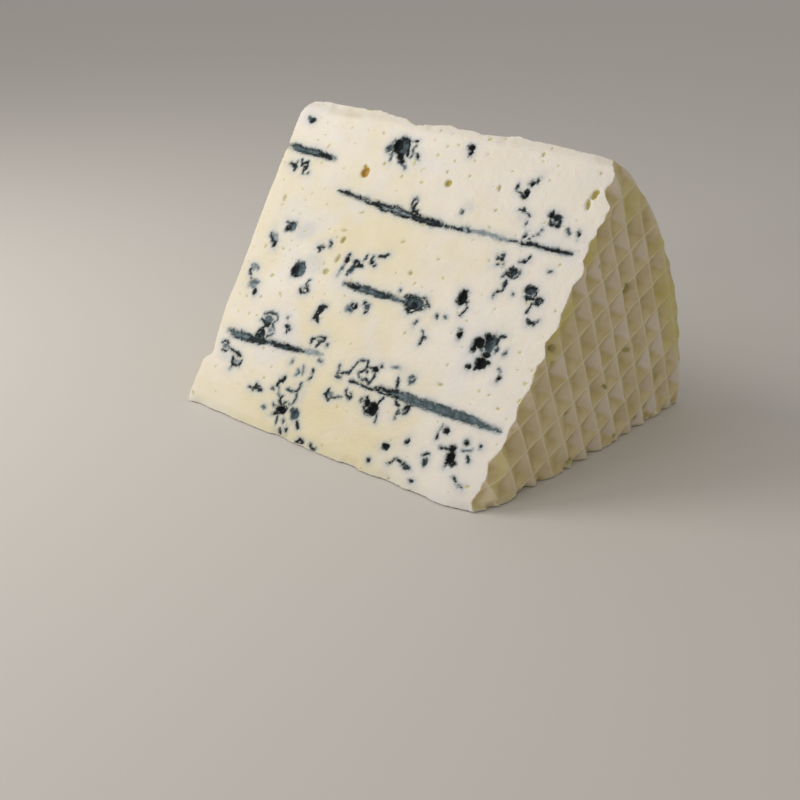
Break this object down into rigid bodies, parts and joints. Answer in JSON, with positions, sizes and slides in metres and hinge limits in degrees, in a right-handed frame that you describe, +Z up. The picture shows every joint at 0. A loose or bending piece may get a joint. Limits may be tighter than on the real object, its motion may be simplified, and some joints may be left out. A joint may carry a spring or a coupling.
{
  "type": "blue cheese wedge",
  "caption": "Wedge of a round blue cheese lying on a cut face, with veined upper cut, opened needle channels, and a draining mat's pitted print on both wheel flats and the rind.",
  "frame": {"origin": "middle of the bounding box at the bottom: the wedge rests on its lower cut at z = 0", "axes": "+X along the wheel's axis, from the left flat to the right flat, and the longest side; +Y from the thin tip edge to the rind; +Z up, the shortest side"},
  "size_m": [0.1176, 0.101, 0.0822],
  "materials": {
    "cheese": "soft, moist, slightly waxy paste"
  },
  "bodies": {
    "root": {"cheese_wedge": "cheese"}
  },
  "joints": []
}
